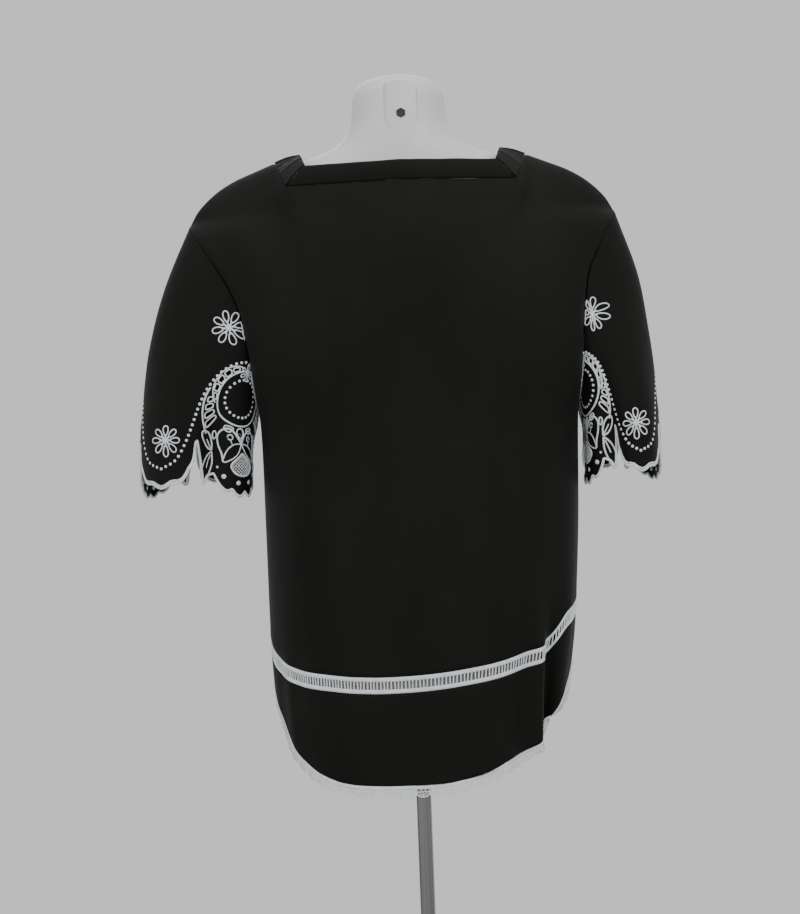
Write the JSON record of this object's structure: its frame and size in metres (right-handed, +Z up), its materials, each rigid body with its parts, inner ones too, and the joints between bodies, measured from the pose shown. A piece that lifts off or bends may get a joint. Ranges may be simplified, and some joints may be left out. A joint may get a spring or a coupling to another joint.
{
  "type": "tunic blouse on a dress form stand",
  "caption": "Drop-shoulder tunic blouse with wide cutwork sleeves, ladder trim and shirt-tail hem, worn by a limbless dress form on a pole stand.",
  "frame": {"origin": "middle of the base plate's underside", "axes": "+Z up, the blouse's front faces -Y, its left sleeve as worn is at +X"},
  "size_m": [0.6306, 0.38, 1.497],
  "materials": {
    "black_cloth": "matte woven",
    "white_trim": "matte thread",
    "form_plastic": "satin",
    "socket_metal": "polished",
    "pole_chrome": "polished",
    "base_metal": "satin"
  },
  "bodies": {
    "root": {"back_panel": "black_cloth", "base_plate": "base_metal", "dress_form": "form_plastic", "front_panel": "black_cloth", "hem_lace_back": "white_trim", "hem_lace_front": "white_trim", "hem_panel_back": "black_cloth", "hem_panel_front": "black_cloth", "ladder_back": "white_trim", "ladder_front": "white_trim", "neck_socket": "socket_metal", "neckband_back": "black_cloth", "neckband_front": "black_cloth", "neckband_left": "black_cloth", "neckband_right": "black_cloth", "pole": "pole_chrome", "sleeve_left_back": "black_cloth", "sleeve_left_front": "black_cloth", "sleeve_right_back": "black_cloth", "sleeve_right_front": "black_cloth"}
  },
  "joints": []
}
